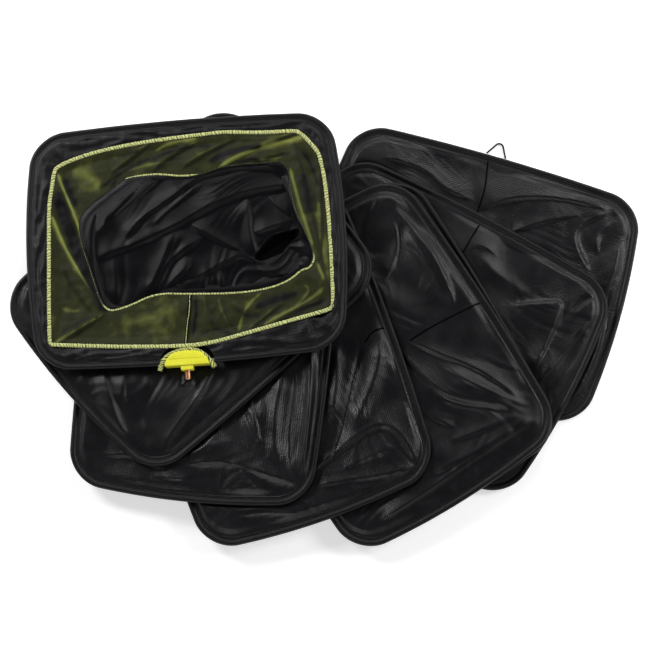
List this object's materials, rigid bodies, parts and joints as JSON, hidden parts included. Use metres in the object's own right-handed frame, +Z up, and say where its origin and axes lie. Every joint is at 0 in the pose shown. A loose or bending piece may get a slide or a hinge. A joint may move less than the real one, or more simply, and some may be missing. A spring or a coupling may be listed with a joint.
{
  "type": "keep net",
  "caption": "Folded keep net of rectangular steel frames fanned out and joined by fine net panels, with a lime mouth band and a tilting threaded bank stick block.",
  "frame": {"origin": "on the ground, under the middle of the fan's outline", "axes": "+X along the fan, from the mouth frame to the base frame; +Y away from the stud; +Z up"},
  "size_m": [0.9861, 0.675, 0.0926],
  "materials": {
    "black_cloth": "woven sleeve cloth, matt with a slight sheen",
    "black_net": "fine soft knitted net",
    "lime_net": "fine lime knitted net over black",
    "lime_thread": "overlocked thread",
    "lime_plastic": "moulded, satin gloss",
    "bright_steel": "drawn wire",
    "brass": "turned"
  },
  "bodies": {
    "base_frame": {"frame_8_wire": "bright_steel", "frame_8_sleeve": "black_cloth", "base_panel": "black_net", "pull_loop": "black_cloth"},
    "frame_7": {"frame_7_wire": "bright_steel", "frame_7_sleeve": "black_cloth", "net_panel_7": "black_net"},
    "frame_6": {"frame_6_wire": "bright_steel", "frame_6_sleeve": "black_cloth", "net_panel_6": "black_net"},
    "frame_5": {"frame_5_wire": "bright_steel", "frame_5_sleeve": "black_cloth", "net_panel_5": "black_net"},
    "frame_4": {"frame_4_wire": "bright_steel", "frame_4_sleeve": "black_cloth", "net_panel_4": "black_net"},
    "frame_3": {"frame_3_wire": "bright_steel", "frame_3_sleeve": "black_cloth", "net_panel_3": "black_net"},
    "frame_2": {"frame_2_wire": "bright_steel", "frame_2_sleeve": "black_cloth", "net_panel_2": "black_net"},
    "mouth_frame": {"frame_1_wire": "bright_steel", "mouth_collar": "black_cloth", "lime_band": "lime_net", "lime_seam_outer": "lime_thread", "lime_seam_inner": "lime_thread", "cutout_binding": "lime_thread", "net_panel_1": "black_net"},
    "block": {"block_body": "lime_plastic", "threaded_stud": "brass"}
  },
  "joints": [
    {"name": "frame_7_lift", "type": "slide", "parent": "base_frame", "child": "frame_7", "axis": [0, 0, 1], "range_m": [0, 0.3], "deforming": ["net_panel_7"]},
    {"name": "frame_6_lift", "type": "slide", "parent": "frame_7", "child": "frame_6", "axis": [0, 0, 1], "range_m": [0, 0.3], "deforming": ["net_panel_6"]},
    {"name": "frame_5_lift", "type": "slide", "parent": "frame_6", "child": "frame_5", "axis": [0, 0, 1], "range_m": [0, 0.3], "deforming": ["net_panel_5"]},
    {"name": "frame_4_lift", "type": "slide", "parent": "frame_5", "child": "frame_4", "axis": [0, 0, 1], "range_m": [0, 0.3], "deforming": ["net_panel_4"]},
    {"name": "frame_3_lift", "type": "slide", "parent": "frame_4", "child": "frame_3", "axis": [0, 0, 1], "range_m": [0, 0.3], "deforming": ["net_panel_3"]},
    {"name": "frame_2_lift", "type": "slide", "parent": "frame_3", "child": "frame_2", "axis": [0, 0, 1], "range_m": [0, 0.3], "deforming": ["net_panel_2"]},
    {"name": "mouth_lift", "type": "slide", "parent": "frame_2", "child": "mouth_frame", "axis": [0, 0, 1], "range_m": [0, 0.3], "deforming": ["net_panel_1"]},
    {"name": "block_tilt", "type": "hinge", "parent": "mouth_frame", "child": "block", "pos_m": [-0.21313, -0.06028, 0.07018], "axis": [0.9951, 0.0601, 0.079], "range_deg": [-10, 25]}
  ]
}
